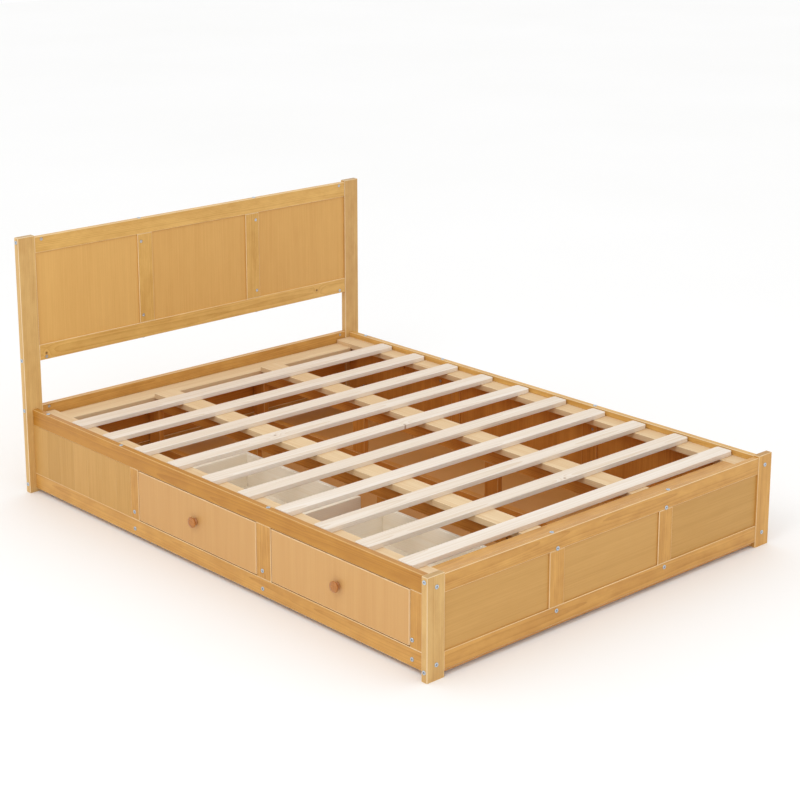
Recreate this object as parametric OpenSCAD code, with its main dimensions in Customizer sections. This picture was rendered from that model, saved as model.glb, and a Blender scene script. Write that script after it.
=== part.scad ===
// Platform bed with two storage drawers, in pine.
// Seen from the foot: +X is to the right, +Y towards the headboard, +Z up, origin under the middle.

/* [Mattress] */
// Width of the mattress
mattress_w = 1372; // [900:1:1930]
// Length of the mattress
mattress_l = 1905; // [1500:1:2300]
// Room on each side of the mattress
mattress_gap_x = 2; // [0:0.5:15]
// Room at each end of the mattress
mattress_gap_y = 5; // [0:0.5:20]

/* [Heights] */
// Top of the headboard posts
head_h = 876; // [700:1:1200]
// Top of the side frames
side_top = 290; // [240:1:450]
// Footboard posts above the side frames
foot_rise = 11; // [0:1:60]
// Bottom of the side frames above the floor
side_clear = 14; // [5:1:30]
// Bottom of the end frames above the floor
end_clear = 20; // [10:1:40]
// How far the headboard's top rail stops below the posts
head_rail_drop = 6; // [0:1:20]
// How far the footboard's top rail stops below the posts
foot_rail_drop = 5; // [0:1:20]
// Bottom of the upper part of the headboard
head_panel_z = 450; // [400:1:600]
// Top of the headboard's lower rail above the side frames
lower_rail_rise = 7; // [0:1:20]

/* [Boards] */
// Width of the corner posts
post_w = 64; // [45:1:90]
// Thickness of the corner posts
post_t = 22; // [18:1:35]
// Width of every rail
rail_w = 54; // [44:1:66]
// Thickness of the head and foot rails and stiles
end_t = 18; // [14:1:22]
// Width of the stiles
stile_w = 60; // [40:1:80]
// Thickness of the side frames
side_t = 20; // [16:1:28]
// How far the side frames sit in from the posts' outer edges
side_inset = 24; // [0:1:40]
// Thickness of the recessed panels
panel_t = 8; // [4:0.5:10]
// Depth of the panel grooves
groove_d = 8; // [4:0.5:10]
// Room around a panel in its groove
panel_gap = 0.5; // [0.2:0.1:1.5]
// Small flat planed along each long edge
edge_c = 1.5; // [0:0.25:3]

/* [Side frames] */
// Clear length of each drawer opening
open_l = 590; // [350:1:710]
// Stile between the fixed panel and the first drawer
stile_head_w = 42; // [30:1:80]
// Stile between the two drawers
stile_mid_w = 66; // [40:1:90]
// Stile beside the foot post
stile_foot_w = 70; // [40:1:90]

/* [Deck] */
// Number of slats
slat_count = 10; // [6:1:16]
// Width of a slat
slat_w = 58; // [40:1:90]
// Thickness of a slat
slat_t = 16; // [12:1:25]
// Slat tops below the top of the side frames
slat_drop = 2; // [0:1:10]
// Room at each slat end
slat_gap = 6; // [2:1:15]
// Space between the headboard and the first slat
slat_head_gap = 191; // [100:1:250]
// Space between the last slat and the footboard
slat_foot_gap = 92; // [85:1:150]
// Width of the side ledges
ledge_w = 64; // [40:1:90]
// Width of the end ledges
end_ledge_w = 80; // [40:1:84]
// Thickness of the ledges and the beam tops
ledge_t = 20; // [15:1:30]
// Head ledge below the side ledges
head_ledge_drop = 14; // [0:1:30]
// Width of the beam tops
beam_top_w = 80; // [50:1:120]
// Thickness of the beam webs and posts
beam_t = 20; // [16:1:30]
// Thickness of the beam bottom rails
beam_foot_t = 28; // [20:1:40]
// Thickness of the base sheets
base_t = 4; // [3:0.5:8]

/* [Drawers] */
// Gap around a drawer front
front_gap = 2.5; // [1:0.5:4]
// Thickness of a drawer front
front_t = 18; // [15:1:24]
// Space between the back of a drawer box and the beam top
box_back_gap = 17; // [5:1:150]
// Space between the top of a drawer box and the upper side rail
box_top_gap = 33; // [5:1:60]
// Drawer box bottom above the opening's lower edge
box_lift = 10; // [6:1:20]
// Space between the drawer box and the opening on each side
box_side_gap = 16; // [10:1:25]
// Thickness of the drawer box boards
box_t = 14; // [12:0.5:18]
// Thickness of the drawer bottom
bottom_t = 5; // [3:0.5:8]
// Height of the drawer bottom above the box's lower edge
bottom_lift = 8; // [5:1:15]
// Height of a runner strip
runner_h = 14; // [10:1:20]
// How far a runner strip reaches into the side's groove
runner_in = 6; // [4:0.5:8]
// Runner strip above the box's lower edge
runner_lift = 20; // [15:1:50]
// Room around a runner strip
runner_gap = 0.5; // [0.3:0.1:1.5]
// Height of a bearer
bearer_h = 96; // [92:1:104]

/* [Knobs and hardware] */
// Diameter of a knob
knob_d = 34; // [25:1:45]
// How far a knob stands out
knob_l = 24; // [18:1:30]
// Diameter of a knob screw
knob_screw_d = 4; // [3:0.5:5]
// Diameter of a bolt
bolt_d = 6; // [5:0.5:8]
// Diameter of a bolt head
bolt_head_d = 13; // [10:0.5:16]
// Thickness of a bolt head
bolt_head_t = 2; // [1:0.5:4]
// Room around a bolt
bolt_gap = 0.3; // [0.2:0.1:0.8]
// Diameter of a barrel nut
nut_d = 10; // [9:0.5:14]
// Distance of a barrel nut from the joint
nut_back = 26; // [18:1:30]

/* [Hidden] */
$fn = 32;
far = 3000;

inner_w = mattress_w + 2 * mattress_gap_x;
inner_l = mattress_l + 2 * mattress_gap_y;
x_in = inner_w / 2;
x_face = x_in + side_t;
x_out = x_face + side_inset;
x_post = x_out - post_w;
y_in = inner_l / 2;
y_out = y_in + post_t;

// End frames
end_y0 = (post_t - end_t) / 2;
head_y = y_in + end_y0;
foot_y = -y_out + end_y0;
head_mid_y = y_out - post_t / 2;
foot_mid_y = -y_out + post_t / 2;
third_w = (2 * x_post - 2 * stile_w) / 3;
stile_x = (third_w + stile_w) / 2;
head_top = head_h - head_rail_drop;
lower_top = side_top + lower_rail_rise;
foot_h = side_top + foot_rise;
foot_top = foot_h - foot_rail_drop;
head_rails = [head_top - rail_w, head_panel_z, lower_top - rail_w, end_clear];
foot_rails = [foot_top - rail_w, end_clear];

// Side frames: each stile is [low y, width, y of its bearer bolts]
open_z0 = side_clear + rail_w;
open_z1 = side_top - rail_w;
stile_foot = [-y_in, stile_foot_w, -y_in + stile_foot_w - 9];
stile_mid_y = -y_in + stile_foot_w + open_l;
stile_mid = [stile_mid_y, stile_mid_w, stile_mid_y + stile_mid_w / 2 + 6];
stile_head_y = stile_mid_y + stile_mid_w + open_l;
stile_head = [stile_head_y, stile_head_w, stile_head_y + stile_head_w / 2 + 3];
side_stiles = [stile_foot, stile_mid, stile_head];
end_board_y = stile_head_y + stile_head_w;
drawer_y = [stile_head[0] - open_l / 2, stile_mid[0] - open_l / 2];

// Deck
deck_z = side_top - slat_drop - slat_t;
ledge_z = deck_z - ledge_t;
web_z = ledge_z - rail_w;
head_ledge_z = ledge_z - head_ledge_drop;
slat_l = inner_w - 2 * slat_gap;
slat_pitch = (inner_l - slat_head_gap - slat_foot_gap - slat_w) / (slat_count - 1);
beam_post_y = [
    -y_in,
    stile_mid[0] + (stile_mid_w - stile_w) / 2,
    stile_head[0] + (stile_head_w - stile_w) / 2,
    y_in - stile_w
];

// Drawers
front_l = open_l - 2 * front_gap;
front_h = open_z1 - open_z0 - 2 * front_gap;
front_z = open_z0 + front_gap;
box_l = open_l - 2 * box_side_gap;
box_z = open_z0 + box_lift;
box_h = open_z1 - box_top_gap - box_z;
box_x0 = -x_face + front_t;
box_x1 = -stile_x - beam_top_w / 2 - box_back_gap;
box_d = box_x1 - box_x0;
bottom_z = box_z + bottom_lift;
groove_side_d = runner_in + 2 * runner_gap;
bottom_in = box_t - groove_side_d - 2;
knob_z = (open_z0 + open_z1) / 2;
knob_screw_l = front_t + knob_l * 0.6;
runner_z = box_z + runner_lift;
bearer_z = open_z0 + box_lift + runner_lift + runner_h + 6 - bearer_h;
bearer_x1 = -stile_x - beam_foot_t / 2;

// Hardware
bolt_in = 40;
nut_l = 15;
end_bolt_edge = 10;
head_bolt_z = [
    head_top - end_bolt_edge, head_panel_z + end_bolt_edge,
    lower_top - end_bolt_edge, end_clear + end_bolt_edge
];
foot_bolt_z = [foot_top - end_bolt_edge, end_clear + end_bolt_edge];
side_bolt_rise = 5;
side_bolt_z = [
    side_clear + rail_w / 2 + side_bolt_rise, side_top - rail_w / 2 + side_bolt_rise
];
stile_bolt_x = stile_x + 16;
upright_bolt_y = [stile_mid_y + 20, end_board_y + 58, y_in - 80];
beam_bolt_z = [open_z0 - 8, ledge_z - 5];
bearer_bolt_z = [bearer_z + 14, bearer_z + bearer_h - 26];

// ---- Shapes used for many pieces ----

// A planed board: lowest corner, size, and the axis that the grain runs along
module board(at, size, run) {
    long = run == "x" ? size[0] : run == "y" ? size[1] : size[2];
    u = run == "x" ? size[1] : size[0];
    v = run == "z" ? size[1] : size[2];
    turn = run == "x" ? [90, 0, 90] : run == "y" ? [90, 0, 0] : [0, 0, 0];
    translate(at + size / 2)
        rotate(turn)
            linear_extrude(long, center = true)
                planed_section(u / 2, v / 2);
}

module planed_section(a, b) {
    c = edge_c;
    polygon([
        [c - a, -b], [a - c, -b], [a, c - b], [a, b - c],
        [a - c, b], [c - a, b], [-a, b - c], [-a, c - b]
    ]);
}

// A box from corner to corner, grown by gap on every side
module block(low, high, gap = 0) {
    translate([low[0] - gap, low[1] - gap, low[2] - gap])
        cube([high[0] - low[0] + 2 * gap, high[1] - low[1] + 2 * gap, high[2] - low[2] + 2 * gap]);
}

// A bolt whose head sits on the face at the given point, pointing along turn's +Z
module bolt(at, turn, grip, gap = 0) {
    translate(at)
        rotate(turn) {
            translate([0, 0, -far * sign(gap)])
                cylinder(d = bolt_d + 2 * gap, h = far * sign(gap) + grip + bolt_in + 10 * gap);
            if (gap == 0)
                bolt_head();
        }
}

module bolt_head() {
    translate([0, 0, -bolt_head_t])
        difference() {
            cylinder(d = bolt_head_d, h = bolt_head_t);
            translate([0, 0, -1])
                cylinder(d = bolt_d * 0.7, h = 1 + bolt_head_t * 0.75, $fn = 6);
        }
}

// A barrel nut whose visible end is flush at the given point, in a board of thickness t; its bolt
// runs along the local X in the middle of that board
module barrel_nut(at, turn, t, gap = 0) {
    translate(at)
        rotate(turn)
            difference() {
                translate([0, 0, -gap])
                    cylinder(d = nut_d + 2 * gap, h = nut_l + 2 * gap);
                if (gap == 0)
                    translate([0, 0, t / 2])
                        rotate([0, 90, 0])
                            cylinder(d = bolt_d + 2 * bolt_gap, h = 2 * nut_d, center = true);
            }
}

// ---- Hardware places ----

module end_bolts(y, heights, gap = 0) {
    for (z = heights, side = [-1, 1])
        bolt([side * x_out, y, z], [0, -side * 90, 0], post_w, gap);
}

module head_bolts(gap = 0) {
    end_bolts(head_mid_y, head_bolt_z, gap);
}

module foot_bolts(gap = 0) {
    end_bolts(foot_mid_y, foot_bolt_z, gap);
}

module side_bolts(gap = 0) {
    for (side = [-1, 1], end = [-1, 1], z = side_bolt_z)
        bolt([side * (x_in + side_t / 2), end * y_out, z], [end * 90, 0, 0], post_t, gap);
}

// Bolts down and up through a pair of rails into the two ends of a stile or an end board
module stile_pair(x, y, low, high, gap = 0) {
    bolt([x, y, high], [180, 0, 0], rail_w, gap);
    bolt([x, y, low], [0, 0, 0], rail_w, gap);
}

module head_stile_bolts(gap = 0) {
    for (side = [-1, 1])
        stile_pair(side * stile_bolt_x, head_mid_y, head_panel_z, head_top, gap);
}

module foot_stile_bolts(gap = 0) {
    for (side = [-1, 1])
        stile_pair(side * stile_bolt_x, foot_mid_y, end_clear, foot_top, gap);
}

module side_upright_bolts(side, gap = 0) {
    for (y = upright_bolt_y)
        stile_pair(side * (x_in + side_t / 2), y, side_clear, side_top, gap);
}

// Each bearer is held by one bolt through the bottom rail and one through the stile
module bearer_bolt_set(gap = 0) {
    for (stile = side_stiles, z = bearer_bolt_z)
        bolt([-x_face, stile[2], z], [0, 90, 0], side_t, gap);
}

// The centre beams are bolted through the footboard's two rails and the headboard's floor rail
module beam_bolt_set(gap = 0) {
    for (side = [-1, 1]) {
        for (z = beam_bolt_z)
            bolt([side * stile_x, foot_y, z], [-90, 0, 0], end_t, gap);
        bolt([side * stile_x, head_y + end_t, beam_bolt_z[0]], [90, 0, 0], end_t, gap);
    }
}

// Nuts open on the inside face of an end frame: "way" is the direction they point in
module end_nuts(y, way, heights, gap = 0) {
    for (z = heights, side = [-1, 1])
        barrel_nut([side * (x_post - nut_back), y, z], [-way * 90, 0, 0], end_t, gap);
}

module end_stile_nuts(y, way, low, high, gap = 0) {
    for (side = [-1, 1], z = [low + rail_w + nut_back, high - rail_w - nut_back])
        barrel_nut([side * stile_bolt_x, y, z], [-way * 90, 90, 0], end_t, gap);
}

module head_nuts(gap = 0) {
    end_nuts(head_y, 1, head_bolt_z, gap);
    end_stile_nuts(head_y, 1, head_panel_z, head_top, gap);
}

module foot_nuts(gap = 0) {
    end_nuts(foot_y + end_t, -1, foot_bolt_z, gap);
    end_stile_nuts(foot_y + end_t, -1, end_clear, foot_top, gap);
}

// Nuts open on the inside face of a side frame
module side_nuts(side, gap = 0) {
    for (end = [-1, 1], z = side_bolt_z)
        barrel_nut([side * x_in, end * (y_in - nut_back), z], [side * 90, 0, 90], side_t, gap);
    for (y = upright_bolt_y, z = [open_z0 + nut_back, open_z1 - nut_back])
        barrel_nut([side * x_in, y, z], [0, side * 90, 0], side_t, gap);
}

// ---- Headboard and footboard ----

module end_post(side, y, top) {
    x0 = side < 0 ? -x_out : x_post;
    board([x0, y, 0], [post_w, post_t, top], "z");
}

module end_rail(y, z) {
    board([-x_post, y, z], [2 * x_post, end_t, rail_w], "x");
}

// The three panels between two rails, from groove to groove
module end_panel_set(y, low, high, gap = 0) {
    reach = groove_d - panel_gap;
    for (i = [-1, 0, 1])
        block(
            [i * (third_w + stile_w) - third_w / 2 - reach, y - panel_t / 2, low + rail_w - reach],
            [i * (third_w + stile_w) + third_w / 2 + reach, y + panel_t / 2, high - rail_w + reach],
            gap
        );
}

module head_panel_set(gap = 0) {
    end_panel_set(head_mid_y, head_panel_z, head_top, gap);
}

module foot_panel_set(gap = 0) {
    end_panel_set(foot_mid_y, end_clear, foot_top, gap);
}

module head_lower_panel_blank(gap = 0) {
    reach = groove_d - panel_gap;
    block(
        [-x_post - reach, head_mid_y - panel_t / 2, end_clear + rail_w - reach],
        [x_post + reach, head_mid_y + panel_t / 2, lower_top - rail_w + reach],
        gap
    );
}

module head_cuts() {
    head_panel_set(panel_gap);
    head_lower_panel_blank(panel_gap);
    head_bolts(bolt_gap);
    side_bolts(bolt_gap);
}

module foot_cuts() {
    foot_panel_set(panel_gap);
    foot_bolts(bolt_gap);
    side_bolts(bolt_gap);
}

module head_post(side) {
    color("#D9A45E")
        difference() {
            end_post(side, y_in, head_h);
            head_cuts();
        }
}

module head_post_left() {
    head_post(-1);
}

module head_post_right() {
    head_post(1);
}

module head_rail(z) {
    color("#D8A25A")
        difference() {
            end_rail(head_y, z);
            head_panel_set(panel_gap);
            head_lower_panel_blank(panel_gap);
            head_bolts(bolt_gap);
            head_stile_bolts(bolt_gap);
            beam_bolt_set(bolt_gap);
            head_nuts(bolt_gap);
        }
}

module head_top_rail() {
    head_rail(head_rails[0]);
}

module head_middle_rail() {
    head_rail(head_rails[1]);
}

module head_lower_rail() {
    head_rail(head_rails[2]);
}

module head_floor_rail() {
    head_rail(head_rails[3]);
}

module end_stile_pair(y, low, high) {
    for (side = [-1, 1])
        board([side * stile_x - stile_w / 2, y, low + rail_w], [stile_w, end_t, high - low - 2 * rail_w],
            "z");
}

module head_stiles() {
    color("#D8A25A")
        difference() {
            end_stile_pair(head_y, head_panel_z, head_top);
            head_panel_set(panel_gap);
            head_stile_bolts(bolt_gap);
            head_nuts(bolt_gap);
        }
}

module head_panels() {
    color("#D3A066")
        head_panel_set();
}

module head_lower_panel() {
    color("#B9803F")
        head_lower_panel_blank();
}

module head_ledge() {
    color("#DDBE96")
        board([-x_in + ledge_w, y_in - end_ledge_w, head_ledge_z],
            [inner_w - 2 * ledge_w, end_ledge_w, ledge_t], "x");
}

module foot_post(side) {
    color("#D9A45E")
        difference() {
            end_post(side, -y_out, foot_h);
            foot_cuts();
        }
}

module foot_post_left() {
    foot_post(-1);
}

module foot_post_right() {
    foot_post(1);
}

module foot_rail(z) {
    color("#D8A25A")
        difference() {
            end_rail(foot_y, z);
            foot_panel_set(panel_gap);
            foot_bolts(bolt_gap);
            foot_stile_bolts(bolt_gap);
            beam_bolt_set(bolt_gap);
            foot_nuts(bolt_gap);
        }
}

module foot_top_rail() {
    foot_rail(foot_rails[0]);
}

module foot_bottom_rail() {
    foot_rail(foot_rails[1]);
}

module foot_stiles() {
    color("#D8A25A")
        difference() {
            end_stile_pair(foot_y, end_clear, foot_top);
            foot_panel_set(panel_gap);
            foot_stile_bolts(bolt_gap);
            foot_nuts(bolt_gap);
        }
}

module foot_panels() {
    color("#D2A05F")
        foot_panel_set();
}

module foot_ledge() {
    color("#D8A860")
        board([-x_in + ledge_w, -y_in, ledge_z], [inner_w - 2 * ledge_w, end_ledge_w, ledge_t], "x");
}

// ---- Side frames ----

module side_rail(side, z) {
    x0 = side < 0 ? -x_face : x_in;
    board([x0, -y_in, z], [side_t, inner_l, rail_w], "y");
}

module side_stile(side, stile) {
    x0 = side < 0 ? -x_face : x_in;
    board([x0, stile[0], open_z0], [side_t, stile[1], open_z1 - open_z0], "z");
}

// The two thin panels of the right side, grooved into the rails and stiles
module right_thin_panels(gap = 0) {
    reach = groove_d - panel_gap;
    x = x_in + side_t / 2;
    for (span = [[stile_foot, stile_mid], [stile_mid, stile_head]])
        block(
            [x - panel_t / 2, span[0][0] + span[0][1] - reach, open_z0 - reach],
            [x + panel_t / 2, span[1][0] + reach, open_z1 + reach],
            gap
        );
}

// The end board beside the headboard, flush with its rails and bolted between them
module end_board(side) {
    x0 = side < 0 ? -x_face : x_in;
    difference() {
        board([x0, end_board_y, open_z0], [side_t, y_in - end_board_y, open_z1 - open_z0], "z");
        side_upright_bolts(side, bolt_gap);
        side_nuts(side, bolt_gap);
    }
}

module side_cuts(side) {
    if (side < 0)
        bearer_bolt_set(bolt_gap);
    else
        right_thin_panels(panel_gap);
    side_bolts(bolt_gap);
    side_upright_bolts(side, bolt_gap);
    side_nuts(side, bolt_gap);
}

module cut_side_rail(side, z) {
    color("#CF9A52")
        difference() {
            side_rail(side, z);
            side_cuts(side);
        }
}

module cut_side_stile(side, stile) {
    color("#D8A25A")
        difference() {
            side_stile(side, stile);
            side_cuts(side);
        }
}

module left_top_rail() {
    cut_side_rail(-1, open_z1);
}

module left_bottom_rail() {
    cut_side_rail(-1, side_clear);
}

module left_stile_head() {
    cut_side_stile(-1, stile_head);
}

module left_stile_middle() {
    cut_side_stile(-1, stile_mid);
}

module left_stile_foot() {
    cut_side_stile(-1, stile_foot);
}

module left_panel() {
    color("#D3A066")
        end_board(-1);
}

module right_top_rail() {
    cut_side_rail(1, open_z1);
}

module right_bottom_rail() {
    cut_side_rail(1, side_clear);
}

module right_stiles() {
    for (stile = side_stiles)
        cut_side_stile(1, stile);
}

module right_panels() {
    color("#C98A45") {
        right_thin_panels();
        end_board(1);
    }
}

// ---- Deck ----

module side_ledge(side) {
    x0 = side < 0 ? -x_in : x_in - ledge_w;
    color("#DDB87C")
        board([x0, -y_in, ledge_z], [ledge_w, inner_l, ledge_t], "y");
}

module left_ledge() {
    side_ledge(-1);
}

module right_ledge() {
    side_ledge(1);
}

module beam_top(side) {
    color("#E2C697")
        board([side * stile_x - beam_top_w / 2, -y_in + end_ledge_w, ledge_z],
            [beam_top_w, inner_l - 2 * end_ledge_w, ledge_t], "y");
}

// The web's head end is cut down under the head ledge
module beam_web(side) {
    color("#D9A45E")
        difference() {
            board([side * stile_x - beam_t / 2, -y_in, web_z], [beam_t, inner_l, rail_w], "y");
            block([side * stile_x - beam_t, y_in - end_ledge_w, head_ledge_z],
                [side * stile_x + beam_t, y_in + 1, ledge_z + 1]);
            beam_bolt_set(bolt_gap);
        }
}

module beam_bottom(side) {
    color("#CFA670")
        difference() {
            board([side * stile_x - beam_foot_t / 2, -y_in, side_clear],
                [beam_foot_t, inner_l, rail_w], "y");
            beam_bolt_set(bolt_gap);
        }
}

module beam_posts(side) {
    color("#C98D48")
        for (y = beam_post_y)
            board([side * stile_x - beam_t / 2, y, open_z0], [beam_t, stile_w, web_z - open_z0], "z");
}

module left_beam_top() {
    beam_top(-1);
}

module left_beam_web() {
    beam_web(-1);
}

module left_beam_bottom() {
    beam_bottom(-1);
}

module left_beam_posts() {
    beam_posts(-1);
}

module right_beam_top() {
    beam_top(1);
}

module right_beam_web() {
    beam_web(1);
}

module right_beam_bottom() {
    beam_bottom(1);
}

module right_beam_posts() {
    beam_posts(1);
}

module slats() {
    color("#E6D6BD")
        for (i = [0 : slat_count - 1])
            board([-slat_l / 2, y_in - slat_head_gap - slat_w - i * slat_pitch, deck_z],
                [slat_l, slat_w, slat_t], "x");
}

module base_sheets() {
    gap = 1;
    edge = x_in + 2;
    color("#A9764C")
        for (span = [
            [-edge, -stile_x - gap], [-stile_x + gap, stile_x - gap], [stile_x + gap, edge]
        ])
            block([span[0], -y_in + gap, side_clear - base_t], [span[1], y_in - gap, side_clear]);
}

// ---- Drawer bearers and runners ----

module bearer(stile) {
    color("#CFA670")
        difference() {
            board([-x_in, stile[0], bearer_z], [bearer_x1 + x_in, stile[1], bearer_h], "x");
            bearer_bolt_set(bolt_gap);
        }
}

module bearer_head() {
    bearer(stile_head);
}

module bearer_middle() {
    bearer(stile_mid);
}

module bearer_foot() {
    bearer(stile_foot);
}

module runner_strips() {
    w = box_side_gap + runner_in;
    color("#E0C08C")
        for (y = drawer_y, end = [-1, 1])
            block(
                [-x_in + 0.5, y + end * (open_l - w) / 2 - w / 2, runner_z],
                [box_x1, y + end * (open_l - w) / 2 + w / 2, runner_z + runner_h]
            );
}

// ---- Hardware ----

module post_bolts() {
    color("#B9C2C9") {
        head_bolts();
        foot_bolts();
        side_bolts();
    }
}

module stile_bolts() {
    color("#B9C2C9") {
        head_stile_bolts();
        foot_stile_bolts();
        for (side = [-1, 1])
            side_upright_bolts(side);
    }
}

module frame_bolts() {
    color("#B9C2C9") {
        bearer_bolt_set();
        beam_bolt_set();
    }
}

module barrel_nuts() {
    color("#B9C2C9") {
        head_nuts();
        foot_nuts();
        for (side = [-1, 1])
            side_nuts(side);
    }
}

// ---- Drawers ----

module drawer_bottom_blank(y, gap = 0) {
    block(
        [box_x0 - bottom_in, y - box_l / 2 + box_t - bottom_in, bottom_z],
        [box_x1 - box_t + bottom_in, y + box_l / 2 - box_t + bottom_in, bottom_z + bottom_t],
        gap
    );
}

module drawer_front(y) {
    color("#DDA968")
        difference() {
            board([-x_face, y - front_l / 2, front_z], [front_t, front_l, front_h], "y");
            drawer_bottom_blank(y, 0.2);
            translate([-x_face - 1, y, knob_z])
                rotate([0, 90, 0])
                    cylinder(d = knob_screw_d + 0.6, h = front_t + 2);
        }
}

module drawer_sides(y) {
    color("#E8DBC2")
        difference() {
            for (end = [-1, 1])
                board([box_x0, y + end * (box_l - box_t) / 2 - box_t / 2, box_z], [box_d, box_t, box_h],
                    "x");
            drawer_bottom_blank(y, 0.2);
            for (end = [-1, 1])
                block(
                    [box_x0 - 1, y + end * (box_l - groove_side_d + 1) / 2 - (groove_side_d + 1) / 2,
                        runner_z - runner_gap],
                    [box_x1 + 1, y + end * (box_l - groove_side_d + 1) / 2 + (groove_side_d + 1) / 2,
                        runner_z + runner_h + runner_gap]
                );
        }
}

module drawer_back(y) {
    color("#E8DBC2")
        difference() {
            board([box_x1 - box_t, y - box_l / 2 + box_t, box_z], [box_t, box_l - 2 * box_t, box_h], "y");
            drawer_bottom_blank(y, 0.2);
        }
}

module drawer_bottom(y) {
    color("#D9C3A0")
        drawer_bottom_blank(y);
}

// A turned knob: foot, neck and rounded head
module knob(y) {
    foot_t = knob_l * 0.12;
    head_t = knob_l * 0.5;
    color("#C98445")
        translate([-x_face, y, knob_z])
            rotate([0, -90, 0])
                difference() {
                    rotate_extrude()
                        union() {
                            square([knob_d * 0.33, foot_t]);
                            square([knob_d * 0.24, knob_l - head_t]);
                            translate([0, knob_l - head_t])
                                square([knob_d / 2 - head_t / 2, head_t]);
                            translate([knob_d / 2 - head_t / 2, knob_l - head_t / 2])
                                circle(d = head_t);
                        }
                    translate([0, 0, -1])
                        cylinder(d = knob_screw_d + 0.6, h = knob_screw_l - front_t + 2);
                }
}

module knob_screw(y) {
    head_d = knob_screw_d * 2.2;
    head_t = knob_screw_d * 0.7;
    color("#AEB5BA")
        translate([-x_face + front_t, y, knob_z])
            rotate([0, -90, 0]) {
                cylinder(d = knob_screw_d, h = knob_screw_l);
                translate([0, 0, -head_t])
                    difference() {
                        cylinder(d = head_d, h = head_t);
                        for (turn = [0, 90])
                            rotate([0, 0, turn])
                                translate([0, 0, head_t * 0.25])
                                    cube([head_d * 0.5, head_d * 0.13, head_t * 0.55], center = true);
                    }
            }
}

module drawer_1_front() {
    drawer_front(drawer_y[0]);
}

module drawer_1_sides() {
    drawer_sides(drawer_y[0]);
}

module drawer_1_back() {
    drawer_back(drawer_y[0]);
}

module drawer_1_bottom() {
    drawer_bottom(drawer_y[0]);
}

module drawer_1_knob() {
    knob(drawer_y[0]);
}

module drawer_1_knob_screw() {
    knob_screw(drawer_y[0]);
}

module drawer_2_front() {
    drawer_front(drawer_y[1]);
}

module drawer_2_sides() {
    drawer_sides(drawer_y[1]);
}

module drawer_2_back() {
    drawer_back(drawer_y[1]);
}

module drawer_2_bottom() {
    drawer_bottom(drawer_y[1]);
}

module drawer_2_knob() {
    knob(drawer_y[1]);
}

module drawer_2_knob_screw() {
    knob_screw(drawer_y[1]);
}

head_post_left();
head_post_right();
head_top_rail();
head_middle_rail();
head_stiles();
head_panels();
head_lower_rail();
head_floor_rail();
head_lower_panel();
head_ledge();
foot_post_left();
foot_post_right();
foot_top_rail();
foot_bottom_rail();
foot_stiles();
foot_panels();
foot_ledge();
left_top_rail();
left_bottom_rail();
left_stile_head();
left_stile_middle();
left_stile_foot();
left_panel();
right_top_rail();
right_bottom_rail();
right_stiles();
right_panels();
left_ledge();
right_ledge();
left_beam_top();
left_beam_web();
left_beam_bottom();
left_beam_posts();
right_beam_top();
right_beam_web();
right_beam_bottom();
right_beam_posts();
slats();
bearer_head();
bearer_middle();
bearer_foot();
runner_strips();
base_sheets();
post_bolts();
stile_bolts();
frame_bolts();
barrel_nuts();
drawer_1_front();
drawer_1_sides();
drawer_1_back();
drawer_1_bottom();
drawer_1_knob();
drawer_1_knob_screw();
drawer_2_front();
drawer_2_sides();
drawer_2_back();
drawer_2_bottom();
drawer_2_knob();
drawer_2_knob_screw();
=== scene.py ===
# Platform bed with two storage drawers, in honey-stained pine with raw slats.
import math
import random
from functools import partial

import bmesh
import bpy
from mathutils import Matrix, Vector


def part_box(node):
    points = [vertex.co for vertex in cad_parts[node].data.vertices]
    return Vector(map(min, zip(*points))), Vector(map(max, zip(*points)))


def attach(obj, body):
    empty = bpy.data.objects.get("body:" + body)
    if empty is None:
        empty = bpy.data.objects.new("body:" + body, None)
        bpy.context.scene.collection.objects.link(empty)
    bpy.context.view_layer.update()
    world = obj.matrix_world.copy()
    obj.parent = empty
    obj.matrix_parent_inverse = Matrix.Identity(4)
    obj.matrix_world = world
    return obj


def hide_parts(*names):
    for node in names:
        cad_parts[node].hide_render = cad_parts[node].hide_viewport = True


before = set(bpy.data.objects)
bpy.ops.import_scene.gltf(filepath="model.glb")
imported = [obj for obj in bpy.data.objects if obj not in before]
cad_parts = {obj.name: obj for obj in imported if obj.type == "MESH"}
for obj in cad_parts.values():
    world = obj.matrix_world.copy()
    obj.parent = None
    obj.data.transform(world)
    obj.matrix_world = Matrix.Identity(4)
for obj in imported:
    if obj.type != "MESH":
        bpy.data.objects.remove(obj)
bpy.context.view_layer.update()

MM = 0.001
EASE = 1.8 * MM         # the radius of a planed board's rounded edges
STEP = 0.02 * MM        # an inset too small to see, at the top of an upright wall
SHARP = math.radians(40)    # an edge that turns more than this is rounded
AXES = {"x": 0, "y": 1, "z": 2}


# ---- Camera, floor and light ----

def colour(code):
    """A linear colour from an sRGB hex code such as "D9A45E"."""
    parts = [int(code[i:i + 2], 16) / 255 for i in (0, 2, 4)]
    linear = [p / 12.92 if p <= 0.04045 else ((p + 0.055) / 1.055) ** 2.4 for p in parts]
    return (*linear, 1.0)


def make_camera(at, heading, tilt, lens, shift_y):
    """A camera that looks the heading's degrees to the right of +Y and the tilt's degrees down."""
    data = bpy.data.cameras.new("camera")
    data.lens = lens
    data.shift_y = shift_y
    camera = bpy.data.objects.new("camera", data)
    bpy.context.scene.collection.objects.link(camera)
    camera.location = at
    camera.rotation_euler = (math.radians(90 - tilt), 0, math.radians(-heading))
    bpy.context.scene.camera = camera


def softbox(name, at, target, width, power):
    """A square white area lamp that faces a target."""
    data = bpy.data.lights.new(name, "AREA")
    data.size = width
    data.energy = power
    lamp = bpy.data.objects.new(name, data)
    bpy.context.scene.collection.objects.link(lamp)
    lamp.location = at
    lamp.rotation_euler = (Vector(target) - Vector(at)).to_track_quat("-Z", "Y").to_euler()


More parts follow.
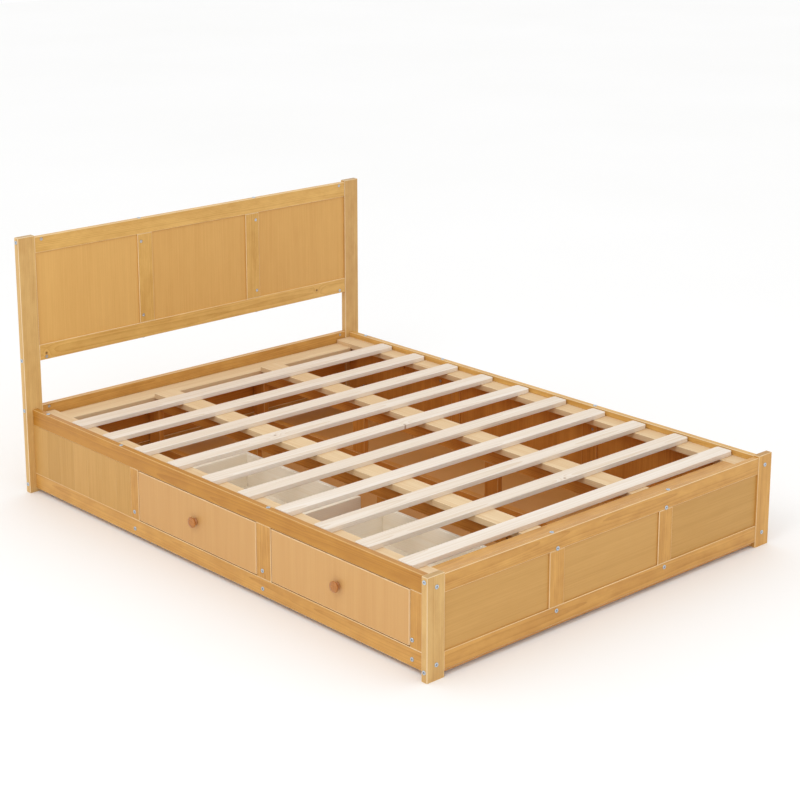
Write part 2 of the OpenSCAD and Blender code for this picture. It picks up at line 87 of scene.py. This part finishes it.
def make_world(strength):
    """Even white light from all round, as in a white light tent, shown without a film curve."""
    world = bpy.data.worlds.new("studio")
    world.use_nodes = True
    world.node_tree.nodes["Background"].inputs["Color"].default_value = colour("FFFFFF")
    world.node_tree.nodes["Background"].inputs["Strength"].default_value = strength
    bpy.context.scene.world = world
    bpy.context.scene.view_settings.view_transform = "Standard"


def add(tree, kind, *values, out=0, fill=None, **settings):
    """Adds a shader node with its settings, fills its inputs with values or links, and returns one
    of its outputs. The values go into the first inputs, and fill gives others by name or number."""
    made = tree.nodes.new("ShaderNode" + kind)
    for key, value in settings.items():
        setattr(made, key, value)
    for key, value in [*enumerate(values), *(fill or {}).items()]:
        if isinstance(value, bpy.types.NodeSocket):
            tree.links.new(value, made.inputs[key])
        elif value is not None:
            made.inputs[key].default_value = value
    return made.outputs[out] if made.outputs else None


def new_material(name):
    """An empty material, and the add function for its own node tree."""
    material = bpy.data.materials.new(name)
    material.use_nodes = True
    material.node_tree.nodes.clear()
    return material, partial(add, material.node_tree)


def make_floor(half):
    """A pale studio floor of painted board, with clouds in its white as faint as rolled paint's."""
    material, put = new_material("studio_floor")
    spot = put("TexCoord", out="Object")
    cloud = put("TexNoise", fill={"Vector": spot, "Scale": 0.6, "Detail": 2.0})
    white = put("Mix", cloud, out=2, fill={6: colour("FAFAF9"), 7: colour("FEFEFE")}, data_type="RGBA")
    shader = put("BsdfPrincipled", fill={"Base Color": white, "Roughness": 0.9})
    put("OutputMaterial", shader)
    shape = bmesh.new()
    bmesh.ops.create_grid(shape, x_segments=1, y_segments=1, size=half)
    finish_mesh("studio_floor", shape, [material])


# ---- Meshes ----

def finish_mesh(name, shape, materials, smooth=False):
    """Turns a bmesh into a linked object at the origin, its faces outwards."""
    bmesh.ops.recalc_face_normals(shape, faces=shape.faces)
    for face in shape.faces:
        face.smooth = smooth
    mesh = bpy.data.meshes.new(name)
    shape.to_mesh(mesh)
    shape.free()
    for material in materials:
        mesh.materials.append(material)
    made = bpy.data.objects.new(name, mesh)
    bpy.context.scene.collection.objects.link(made)
    if smooth:
        made.modifiers.new("flat_faces", "WEIGHTED_NORMAL").keep_sharp = True
    return made


def solids(name):
    """The separate solids of a CAD node, each a list of points, in order along X, then Y, then Z."""
    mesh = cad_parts[name].data
    key = [tuple(round(c, 5) for c in v.co) for v in mesh.vertices]
    parent = {k: k for k in key}

    def root(k):
        while parent[k] != k:
            parent[k] = parent[parent[k]]
            k = parent[k]
        return k

    for edge in mesh.edges:
        a, b = (root(key[i]) for i in edge.vertices)
        parent[a] = b
    groups = {}
    for k in parent:
        groups.setdefault(root(k), []).append(Vector(k))
    return sorted(groups.values(), key=lambda points: tuple(round(c, 3) for c in corners(points)[0]))


def corners(points):
    """Lowest and highest corner of a list of points."""
    low = Vector([min(p[i] for p in points) for i in range(3)])
    high = Vector([max(p[i] for p in points) for i in range(3)])
    return low, high


def mark_grain(shape, low, high, run, seed):
    """Writes each board's own timber coordinates, in metres, and its finish, for the wood materials.

    grain holds the place along the board, then across and through it, measured from the tree's
    pith, which lies at a different place for each board. finish holds the board's tone, how much a
    face belongs to an eased edge, and how much to an end."""
    luck = random.Random(seed)
    along = AXES[run]
    across, through = sorted((i for i in range(3) if i != along), key=lambda i: low[i] - high[i])
    offset = Vector((luck.uniform(0, 40), luck.uniform(-0.03, 0.03), luck.uniform(0.018, 0.05)))
    tone = luck.uniform(-1, 1)
    middle = (low + high) / 2
    grain = shape.verts.layers.float_vector.new("grain")
    for vert in shape.verts:
        p = vert.co - middle
        vert[grain] = Vector((p[along], p[across], p[through])) + offset
    finish = shape.faces.layers.float_vector.new("finish")
    for face in shape.faces:
        steep = max(abs(c) for c in face.normal)
        end = max(0.0, abs(face.normal[along]) - 0.7) / 0.3
        face[finish] = Vector((tone, 1.0 if steep < 0.99 else 0.0, end))


def bevel(shape, edges, width, segments):
    """Rounds the given edges."""
    bmesh.ops.bevel(shape, geom=edges, offset=width, offset_type="OFFSET", affect="EDGES",
                    segments=segments, profile=0.5, material=-1)


def board(name, low, high, run, material, ease=EASE, outline=None, corner=0.0):
    """One planed board with rounded edges. An outline of (y, z) points replaces the plain section
    where a board has a notch or a groove; it is carried through from low.x to high.x. The corner
    radius rounds the upright edges first, as on a slat's ends."""
    shape = bmesh.new()
    if outline is None:
        bmesh.ops.create_cube(shape, size=1)
        size = Matrix.Diagonal((*(high - low), 1))
        bmesh.ops.transform(shape, matrix=Matrix.Translation((low + high) / 2) @ size, verts=shape.verts)
    else:
        face = shape.faces.new([shape.verts.new((low.x, y, z)) for y, z in outline])
        drawn = bmesh.ops.extrude_face_region(shape, geom=[face])["geom"]
        bmesh.ops.translate(shape, vec=(high.x - low.x, 0, 0),
                            verts=[g for g in drawn if isinstance(g, bmesh.types.BMVert)])
        bmesh.ops.recalc_face_normals(shape, faces=shape.faces)
    if corner:
        upright = [e for e in shape.edges if abs(e.verts[0].co.z - e.verts[1].co.z) > MM]
        bevel(shape, upright, corner, segments=5)
    sharp = [e for e in shape.edges if e.calc_face_angle() > SHARP]
    bevel(shape, sharp, ease, segments=3)
    shape.normal_update()
    mark_grain(shape, low, high, run, name)
    return finish_mesh(name, shape, [material], smooth=True)


def stand(shape, at, way):
    """Turns a shape that was made along +Z to point the given way from the given place."""
    turn = Vector(way).to_track_quat("Z", "Y").to_matrix().to_4x4()
    bmesh.ops.transform(shape, matrix=Matrix.Translation(at) @ turn, verts=shape.verts)


def turned(name, profile, at, way, material):
    """A piece turned on a lathe. The profile is (radius, height) points, from the middle of its
    foot to the middle of its tip."""
    shape = bmesh.new()
    points = [shape.verts.new((radius, 0, height)) for radius, height in profile]
    line = [shape.edges.new(pair) for pair in zip(points, points[1:])]
    bmesh.ops.spin(shape, geom=points + line, cent=(0, 0, 0), axis=(0, 0, 1), angle=2 * math.pi,
                   steps=40, use_merge=True)
    bmesh.ops.remove_doubles(shape, verts=shape.verts, dist=STEP / 2)
    bmesh.ops.recalc_face_normals(shape, faces=shape.faces)
    half = Vector((profile[-1][1],) * 3)
    mark_grain(shape, -half, half, "z", name)
    stand(shape, at, way)
    return finish_mesh(name, shape, [material], smooth=True)


def socket_piece(name, at, way, radius, proud, collar, socket, depth):
    """A round bolt head or nut face with a hexagon socket, on a short shank that goes into the
    wood. The collar is the width of a dark ring of painted shade, for the shadow in the bare bore
    around a sunk nut, or 0 for a head that lies on the wood. The socket is how far the hexagon's
    corners are from its middle; its floor is painted dark with the shade that falls deep inside."""
    shank = 6 * MM
    wall, chamfer = proud * 0.6, proud * 0.4
    shape = bmesh.new()
    bmesh.ops.create_circle(shape, cap_ends=True, segments=24, radius=radius + collar)
    top = next(iter(shape.faces))
    body = bmesh.ops.extrude_face_region(shape, geom=[top])["geom"]
    bmesh.ops.translate(shape, vec=(0, 0, -shank),
                        verts=[g for g in body if isinstance(g, bmesh.types.BMVert)])
    bmesh.ops.recalc_face_normals(shape, faces=shape.faces)
    if collar:
        rim = bmesh.ops.inset_region(shape, faces=[top], thickness=collar, use_even_offset=True)["faces"]
        # The collar ring is painted shade: the shadow in the bore round a sunk nut
        for face in rim:
            face.material_index = 1
    bmesh.ops.inset_region(shape, faces=[top], thickness=STEP, depth=wall)
    bmesh.ops.inset_region(shape, faces=[top], thickness=chamfer, depth=chamfer)
    bmesh.ops.inset_region(shape, faces=[top], thickness=radius * 0.98 - chamfer - socket)
    for vert in top.verts:
        sector = math.pi / 3
        turn = math.atan2(vert.co.y, vert.co.x) % sector - sector / 2
        vert.co.xy *= socket * math.cos(sector / 2) / math.cos(turn) / vert.co.xy.length
    bmesh.ops.inset_region(shape, faces=[top], thickness=STEP, depth=-depth)
    # The socket's floor is painted shade, as it lies in shadow
    top.material_index = 1
    stand(shape, at, way)
    return finish_mesh(name, shape, [ZINC, SHADE_STEEL], smooth=True)


# ---- Materials ----

# How often each pattern of the timber repeats in a metre: along the board, across and through it
SWAY_REPEATS = (1.1, 7.0, 7.0)          # the trunk's bends, 0.9 m long
PATCH_REPEATS = (11.0, 26.0, 26.0)      # stain patches, 90 mm long and 38 mm wide
STREAK_REPEATS = (1.3, 34.0, 34.0)      # streaks, 0.8 m long and 30 mm wide
FIBRE = 2.4 * MM                        # the width of a bundle of fibres
FIBRE_REPEATS = (5.0, 1 / FIBRE, 1 / FIBRE)
SWAY = 22 * MM                          # how far the rings wander
TAPER = 0.006                           # how fast the trunk narrows along its length
KNOT_GRID = 0.13                        # metres between the places where a knot may be
KNOT_PUSH = 14 * MM                     # how far a knot pushes the rings aside
RELIEF = 0.12 * MM                      # the depth of the planed grain


def wood(name, light, dark, ring=4.5 * MM, rings=0.3, streaks=0.5, fibres=0.25, blotch=0.0,
         knots=0.0, knot="6B3A1C", roughness=0.45, coat=0.0, edge="F0CF98", edge_wear_and_highlight=0.4,
         end_dark=0.8, tones=0.12):
    """Sawn timber. Growth rings round each board's own pith give arches on the wide faces and
    lines on the edges; streaks and fibres run along the board; knots push the rings aside. Real
    fibres are under 0.1 mm wide, so they are drawn as bundles.

    ring is the ring spacing. rings, streaks, fibres, blotch and tones say how much the rings, the
    streaks, the fibres, the stain patches and the difference between boards darken the wood. knots
    is the share of grid cells with a knot. Eased edges turn towards the edge colour. This is partly
    wear, where the stain is rubbed thin, and partly a painted highlight, where the rounding catches
    the light. End grain is darkened to end_dark."""
    material, put = new_material(name)
    grain = put("Attribute", out="Vector", attribute_name="grain")
    finish = put("SeparateXYZ", put("Attribute", out="Vector", attribute_name="finish")).node
    tone, eased_share, end = finish.outputs

    # The trunk isn't straight, so the rings wander slowly along the board
    slow = put("VectorMath", grain, SWAY_REPEATS, operation="MULTIPLY")
    sway = put("TexNoise", out="Color", fill={"Vector": slow, "Scale": 1.0, "Detail": 2.0})
    sway = put("VectorMath", sway, (0.5, 0.5, 0.5), operation="SUBTRACT")
    sway = put("VectorMath", sway, (0.0, SWAY, SWAY), operation="MULTIPLY")
    x, y, z = put("SeparateXYZ", put("VectorMath", grain, sway, operation="ADD")).node.outputs
    across = put("Math", y, y, operation="MULTIPLY")
    radius = put("Math", put("Math", z, z, across, operation="MULTIPLY_ADD"), operation="SQRT")
    radius = put("Math", x, TAPER, radius, operation="MULTIPLY_ADD")

    # Knots, 5 to 12 mm across, in a few cells of a grid along the face
    face = put("CombineXYZ", x, y)
    cell = put("TexVoronoi", fill={"Vector": face, "Scale": 1 / KNOT_GRID}, voronoi_dimensions="2D").node
    chance = put("SeparateXYZ", cell.outputs["Color"])
    present = put("Math", chance, knots, operation="LESS_THAN")
    apart = put("Math", cell.outputs["Distance"], KNOT_GRID, operation="MULTIPLY")
    near = put("Math", put("Math", apart, -60.0, operation="MULTIPLY"), operation="EXPONENT")
    near = put("Math", present, near, operation="MULTIPLY")
    core = put("MapRange", apart, 2.5 * MM, 6 * MM, 1.0, 0.0, interpolation_type="SMOOTHSTEP")
    core = put("Math", present, core, operation="MULTIPLY")
    radius = put("Math", near, KNOT_PUSH, radius, operation="MULTIPLY_ADD")

    # Ring spacing varies from year to year; each ring darkens slowly, then ends sharply
    age = put("CombineXYZ", put("Math", radius, 70.0, operation="MULTIPLY"))
    years = put("TexNoise", fill={"Vector": age, "Scale": 1.0, "Detail": 1.0})
    phase = put("Math", radius, 1 / ring, put("Math", years, 2.5, operation="MULTIPLY"),
                operation="MULTIPLY_ADD")
    late = put("Math", put("Math", phase, operation="FRACT"), 2.2, operation="POWER")

    # Streaks and soft patches where the stain took more or less, and fibre bundles
    patchy = put("VectorMath", grain, PATCH_REPEATS, operation="MULTIPLY")
    patch = put("TexNoise", fill={"Vector": patchy, "Scale": 1.0, "Detail": 5.0, "Roughness": 0.65})
    streaked = put("VectorMath", grain, STREAK_REPEATS, operation="MULTIPLY")
    broad = put("TexNoise", fill={"Vector": streaked, "Scale": 1.0, "Detail": 3.0, "Roughness": 0.6})
    drawn = put("VectorMath", grain, FIBRE_REPEATS, operation="MULTIPLY")
    fine = put("TexNoise", fill={"Vector": drawn, "Scale": 1.0, "Detail": 2.0})
    figure = put("Math", late, rings, 0.5 - rings * 0.3 - streaks - fibres - blotch,
                 operation="MULTIPLY_ADD")
    figure = put("Math", patch, blotch * 2, figure, operation="MULTIPLY_ADD")
    figure = put("Math", broad, streaks * 2, figure, operation="MULTIPLY_ADD")
    figure = put("Math", fine, fibres * 2, figure, operation="MULTIPLY_ADD")
    figure = put("Math", tone, tones, figure, operation="MULTIPLY_ADD", use_clamp=True)

    timber = put("Mix", figure, out=2, fill={6: colour(light), 7: colour(dark)}, data_type="RGBA")
    spot = put("Math", core, 0.8, operation="MULTIPLY")
    knotted = put("Mix", spot, out=2, fill={6: timber, 7: colour(knot)}, data_type="RGBA")
    # Painted highlight and wear: eased edges lighten, partly rubbed stain, partly light caught on the
    # rounding
    rubbed_and_lit = put("Math", eased_share, put("Math", broad, edge_wear_and_highlight * 1.6, operation="MULTIPLY"),
                 operation="MULTIPLY", use_clamp=True)
    eased = put("Mix", rubbed_and_lit, out=2, fill={6: knotted, 7: colour(edge)}, data_type="RGBA")
    shade = put("Math", end, end_dark - 1, 1.0, operation="MULTIPLY_ADD")
    shade = put("CombineColor", shade, shade, shade)
    final = put("Mix", 1.0, out=2, fill={6: eased, 7: shade}, data_type="RGBA", blend_type="MULTIPLY")

    gloss = put("MapRange", fine, 0.0, 1.0, roughness - 0.06, roughness + 0.06)
    height = put("Math", late, 0.35 * rings, put("Math", fine, 0.6, operation="MULTIPLY"),
                 operation="MULTIPLY_ADD")
    bump = put("Bump", fill={"Strength": 1.0, "Distance": RELIEF, "Height": height})
    shader = put("BsdfPrincipled", fill={
        "Base Color": final, "Roughness": gloss, "Coat Weight": coat, "Coat Roughness": 0.28,
        "Normal": bump, "Specular IOR Level": 0.3})
    put("OutputMaterial", shader)
    return material


def hardboard(name, light, dark):
    """Fibreboard pressed from steamed wood fibre, 4 mm thick. It has no grain: the eye gets a smooth
    brown face with a fine mottle of fibre bundles, 1.4 mm across, and clouds 0.2 m across."""
    material, put = new_material(name)
    spot = put("TexCoord", out="Object")
    cloud = put("TexNoise", fill={"Vector": spot, "Scale": 1 / 0.2, "Detail": 3.0})
    speck = put("TexNoise", fill={"Vector": spot, "Scale": 1 / (1.4 * MM), "Detail": 2.0})
    mottle = put("Math", cloud, 0.7, put("Math", speck, 0.3, operation="MULTIPLY"),
                 operation="MULTIPLY_ADD")
    brown = put("Mix", mottle, out=2, fill={6: colour(light), 7: colour(dark)}, data_type="RGBA")
    bump = put("Bump", fill={"Distance": 0.08 * MM, "Height": speck})
    shader = put("BsdfPrincipled", fill={"Base Color": brown, "Roughness": 0.55, "Normal": bump})
    put("OutputMaterial", shader)
    return material


def plated_steel(name, light, dark, roughness):
    """Turned steel with bright zinc plate. The plate gives a cool grey shine, a little cloudy with
    tarnish in patches of about 4 mm."""
    material, put = new_material(name)
    spot = put("TexCoord", out="Object")
    cloud = put("TexNoise", fill={"Vector": spot, "Scale": 1 / (4 * MM), "Detail": 3.0})
    grey = put("Mix", cloud, out=2, fill={6: colour(light), 7: colour(dark)}, data_type="RGBA")
    gloss = put("MapRange", cloud, 0.0, 1.0, roughness - 0.08, roughness + 0.12)
    bump = put("Bump", fill={"Distance": 0.03 * MM, "Height": cloud})
    shader = put("BsdfPrincipled", fill={
        "Base Color": grey, "Metallic": 0.9, "Roughness": gloss, "Normal": bump})
    put("OutputMaterial", shader)
    return material


make_camera(at=(-3.969, -4.407, 2.306), heading=42.50, tilt=14.56, lens=87.67, shift_y=-0.14)
make_world(strength=1.0)
make_floor(half=14)
softbox("key", at=(-3.8, -1.6, 4.2), target=(0, 0, 0.3), width=2.2, power=45)

# Solid pine, planed, wiped with honey stain and brushed with satin lacquer: golden, with soft
# blotches where the stain took, rings that barely show, and a low even sheen
STAINED = wood("honey_stained_pine", "DAA658", "B27A36", rings=0.34, streaks=0.4, fibres=0.14,
               knots=0.035, roughness=0.42, coat=0.06, edge="F8E0B4", edge_wear_and_highlight=0.7, blotch=0.55)
# A lighter copy of the same stain, in the headboard's frame and the right top rail; the lightness
# is painted light, standing in for light that falls weakly on the headboard's face
HEAD = wood("honey_stained_head_pine", "E8BC6E", "C08C40", rings=0.34, streaks=0.4, fibres=0.14,
            knots=0.035, roughness=0.42, coat=0.06, edge="FAE6C0", edge_wear_and_highlight=0.6, blotch=0.55)
# Sapwood, in three of the posts, takes the stain thinly: greyer and paler than the rails
POST = wood("honey_stained_post_pine", "E0BA78", "BC8C4E", rings=0.3, streaks=0.32, fibres=0.14,
            knots=0.02, roughness=0.42, coat=0.06, edge="F8E4C0", edge_wear_and_highlight=0.7, blotch=0.5)
# The same pine on the left top rail, cut from redder boards: a deeper orange
RAIL = wood("honey_stained_rail_pine", "CA9038", "A0641C", rings=0.34, streaks=0.42, fibres=0.14,
            knots=0.035, roughness=0.42, coat=0.06, edge="EFCB8C", edge_wear_and_highlight=0.6, blotch=0.4)
# Edge-glued pine staves, sanded thin and stained: an even tan with close straight lines
PANEL = wood("stained_panel_pine", "D2A25E", "B68842", ring=9 * MM, rings=0.12, streaks=0.26,
             fibres=0.24, knots=0.012, roughness=0.48, coat=0.04, blotch=0.15)
# The same in the headboard's panels, painted a little lighter to stand in for the light that
# falls weakly on the headboard's face
HEAD_PANEL = wood("stained_head_panel_pine", "E6B86E", "CC9850", ring=9 * MM, rings=0.12,
                  streaks=0.24, fibres=0.22, roughness=0.48, coat=0.04, blotch=0.15)
# Drawer fronts of quarter-sawn pine: pinkish tan, very even, with fine upright lines
FRONT = wood("stained_front_pine", "D8AB6E", "C49054", ring=7 * MM, rings=0.1, streaks=0.28,
             fibres=0.22, roughness=0.46, coat=0.06, edge="F6D8AC", edge_wear_and_highlight=0.8)
# Stained pine inside the frame, without lacquer: orange-brown and dull
INNER = wood("stained_inner_pine", "E4A24C", "B26C24", streaks=0.42, fibres=0.22, knots=0.05,
             roughness=0.62)
# Raw pine slats, planed only: nearly white, with faint rings and small brown knots
RAW = wood("planed_raw_pine", "F3EBE2", "DAC6AC", rings=0.4, streaks=0.4, fibres=0.22, knots=0.08,
           knot="8E6238", roughness=0.66, edge="F6EFE6", end_dark=0.96, tones=0.1)
# Raw pine ledges and beam tops, from yellower sapwood
LEDGE = wood("planed_raw_ledge_pine", "EBD3AC", "D2AB7A", rings=0.3, streaks=0.42, fibres=0.22,
             knots=0.04, roughness=0.64, edge="F0E0BC", end_dark=0.92)
# Drawer box boards of raw pine, a warm cream, painted paler still to stand in for the light that
# fills the open drawers
BOX = wood("planed_raw_box_pine_painted_light", "FFF9EE", "F2E4CC", rings=0.26, streaks=0.36, fibres=0.22,
           knots=0.03, roughness=0.64, edge="F1E7D4", end_dark=0.9)
# Turned pine takes more stain: orange-brown, and glossier than the boards
KNOB = wood("turned_stained_pine", "DA9650", "945626", ring=3 * MM, rings=0.4, streaks=0.4,
            fibres=0.3, roughness=0.3, coat=0.25, end_dark=0.95, edge_wear_and_highlight=0.0)
BASE = hardboard("pressed_hardboard", "DEA45E", "C2853F")
ZINC = plated_steel("zinc_plated_steel", "DCE6F0", "98A6B6", 0.3)
# The same steel, painted dark with the shade that falls deep in a socket or a bore
SHADE_STEEL = plated_steel("painted_shade_steel", "4A4038", "2C241D", 0.6)


# ---- The bed ----

def place(piece, name, body="bed_frame"):
    """Puts a finished piece in a CAD node's stead, on the body that carries it."""
    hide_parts(name)
    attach(piece, body)


def stain_outside(piece, way, material):
    """Gives the faces that look one way their own material, where a board is stained on one side."""
    piece.data.materials.append(material)
    for face in piece.data.polygons:
        if face.normal.dot(Vector(way)) > 0.5:
            face.material_index = 1


def place_boards(name, run, material, body="bed_frame", ease=EASE, corner=0.0, outside=None):
    """Builds every solid of a CAD node as a board of the same size in the same place. The outside
    gives a direction and the material of the faces that look that way."""
    found = solids(name)
    for i, points in enumerate(found):
        low, high = corners(points)
        label = name + "_board" + ("_%d" % (i + 1) if len(found) > 1 else "")
        piece = board(label, low, high, run, material, ease, corner=corner)
        if outside:
            stain_outside(piece, *outside)
        place(piece, name, body)


def place_staves(name, points, count, material):
    """A board of upright staves, glued edge to edge along Y."""
    low, high = corners(points)
    width = (high.y - low.y) / count
    for i in range(count):
        left = Vector((low.x, low.y + i * width, low.z))
        right = Vector((high.x, low.y + (i + 1) * width, high.z))
        label = "%s_stave_%d" % (name, i + 1)
        place(board(label, left, right, "z", material, 0.35 * MM), name)


for name in ("head_post_left", "head_post_right", "foot_post_left"):
    place_boards(name, "z", POST)
place_boards("head_stiles", "z", HEAD)
for name in ("head_top_rail", "head_middle_rail"):
    place_boards(name, "x", HEAD)
for name in ("foot_post_right", "foot_stiles", "left_stile_head", "left_stile_middle", "left_stile_foot"):
    place_boards(name, "z", STAINED)
for name in ("head_lower_rail", "head_floor_rail", "foot_top_rail", "foot_bottom_rail", "foot_ledge"):
    place_boards(name, "x", STAINED)
for name in ("left_bottom_rail", "right_bottom_rail"):
    place_boards(name, "y", STAINED)
place_boards("right_top_rail", "y", HEAD)
place_boards("left_top_rail", "y", RAIL)
place_boards("head_panels", "z", HEAD_PANEL, ease=0.5 * MM)
place_boards("foot_panels", "x", PANEL, ease=0.5 * MM)
place_staves("left_panel", solids("left_panel")[0], 7, PANEL)
place_boards("head_lower_panel", "x", INNER, ease=0.5 * MM,
             outside=((0, 1, 0), HEAD_PANEL))
place_boards("right_panels", "z", INNER, ease=0.5 * MM, outside=((1, 0, 0), PANEL))
place_boards("right_stiles", "z", INNER, outside=((1, 0, 0), STAINED))
for side in ("left", "right"):
    place_boards(side + "_beam_posts", "z", INNER)
    place_boards(side + "_beam_bottom", "y", INNER)
    place_boards(side + "_beam_top", "y", LEDGE)
    place_boards(side + "_ledge", "y", LEDGE)
place_boards("head_ledge", "x", LEDGE)
for name in ("bearer_head", "bearer_middle", "bearer_foot", "runner_strips"):
    place_boards(name, "x", INNER)
place_boards("slats", "x", RAW, ease=2.2 * MM, corner=8 * MM)

# The base sheets reach under the end rails, so that no light shows past their ends
SHEET_REACH = 12 * MM
for i, points in enumerate(solids("base_sheets")):
    low, high = corners(points)
    low.y, high.y = low.y - SHEET_REACH, high.y + SHEET_REACH
    place(board("base_sheet_%d" % (i + 1), low, high, "y", BASE, 0.4 * MM), "base_sheets")

# The webs of the centre beams are cut down at the head end, under the head ledge
ledge_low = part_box("head_ledge")[0]
for side in ("left", "right"):
    name = side + "_beam_web"
    low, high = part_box(name)
    notch = [(low.y, low.z), (high.y, low.z), (high.y, ledge_low.z), (ledge_low.y, ledge_low.z),
             (ledge_low.y, high.z), (low.y, high.z)]
    place(board(name + "_board", low, high, "y", INNER, outline=notch), name)


# ---- Drawers ----

def drawer_side_outline(low, high, outward, groove_low, groove_high, depth):
    """A drawer side seen end on, with the runner groove in its outer face."""
    outer, inner = (high.y, low.y) if outward > 0 else (low.y, high.y)
    bed = outer - outward * depth
    return [(inner, low.z), (outer, low.z), (outer, groove_low), (bed, groove_low),
            (bed, groove_high), (outer, groove_high), (outer, high.z), (inner, high.z)]


def knob_profile(wide, reach):
    """A small foot, a waist, and a mushroom head whose rim is a half circle under a low dome."""
    profile = [(0, 0), (wide * 0.66, 0), (wide * 0.66, reach * 0.07), (wide * 0.52, reach * 0.16),
               (wide * 0.46, reach * 0.28), (wide * 0.58, reach * 0.4)]
    rim = reach * 0.17
    for i in range(7):
        turn = math.pi * (i / 6 - 0.5)
        profile.append((wide - rim + rim * math.cos(turn), reach * 0.6 + rim * math.sin(turn)))
    for i in range(1, 6):
        share = 1 - i / 5
        profile.append(((wide - rim) * share, reach * (0.77 + 0.23 * (1 - share ** 2))))
    return profile


RUNNER_ROOM = 0.5 * MM
strip_boxes = [corners(points) for points in solids("runner_strips")]
for number in (1, 2):
    body = "drawer_%d" % number
    place_boards(body + "_front", "z", FRONT, body, ease=2.5 * MM)
    place_boards(body + "_back", "y", BOX, body)
    place_boards(body + "_bottom", "y", BOX, body, ease=0.4 * MM)
    for points, outward, label in zip(solids(body + "_sides"), (-1, 1), ("foot", "head")):
        low, high = corners(points)
        strip_low, strip_high = min(
            strip_boxes, key=lambda b: abs((b[0] + b[1]).y / 2 - (low.y if outward < 0 else high.y)))
        depth = (strip_high.y - low.y if outward < 0 else high.y - strip_low.y) + RUNNER_ROOM
        outline = drawer_side_outline(low, high, outward, strip_low.z - RUNNER_ROOM,
                                      strip_high.z + RUNNER_ROOM, depth)
        piece = board("%s_side_%s" % (body, label), low, high, "x", BOX, 0.8 * MM, outline)
        place(piece, body + "_sides", body)
    low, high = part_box(body + "_knob")
    profile = knob_profile((high.z - low.z) / 2, high.x - low.x)
    at = (high.x, (low.y + high.y) / 2, (low.z + high.z) / 2)
    knob = turned(body + "_turned_knob", profile, at, (-1, 0, 0), KNOB)
    place(knob, body + "_knob", body)
    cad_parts[body + "_knob_screw"].data.materials[0] = ZINC


# ---- Bolts and barrel nuts ----

BOLT_HEAD_T = 2 * MM
NUT_R = 5 * MM


def bolt_head_place(points):
    """A bolt's head from the bolt's own points: the end of its head, the way it faces, its radius."""
    low, high = corners(points)
    along = max(range(3), key=lambda i: high[i] - low[i])
    middle = (low + high) / 2
    wide = {}
    for end in (low[along], high[along]):
        near = [p for p in points if abs(p[along] - end) < 0.3 * MM]
        wide[end] = max((p - middle)[i] for p in near for i in range(3) if i != along)
    end = max(wide, key=wide.get)
    way = Vector((0, 0, 0))
    way[along] = 1 if end == high[along] else -1
    middle[along] = end
    return middle, way, wide[end]


for name in ("post_bolts", "stile_bolts", "frame_bolts"):
    for i, points in enumerate(solids(name)):
        end, way, radius = bolt_head_place(points)
        head = socket_piece("%s_head_%d" % (name, i + 1), end - way * BOLT_HEAD_T, way, radius,
                            proud=BOLT_HEAD_T, collar=0.0, socket=radius * 0.42, depth=1.6 * MM)
        place(head, name)

side_face = -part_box("left_top_rail")[1].x
head_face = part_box("head_top_rail")[0].y
foot_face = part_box("foot_top_rail")[1].y
for i, points in enumerate(solids("barrel_nuts")):
    low, high = corners(points)
    at = (low + high) / 2
    if abs(at.x) > side_face:
        way = Vector((-math.copysign(1, at.x), 0, 0))
        at.x = math.copysign(side_face, at.x)
    else:
        way = Vector((0, -math.copysign(1, at.y), 0))
        at.y = head_face if at.y > 0 else foot_face
    nut = socket_piece("barrel_nut_face_%d" % (i + 1), at, way, NUT_R,
                       proud=0.3 * MM, collar=0.6 * MM, socket=NUT_R * 0.4, depth=2 * MM)
    place(nut, "barrel_nuts")
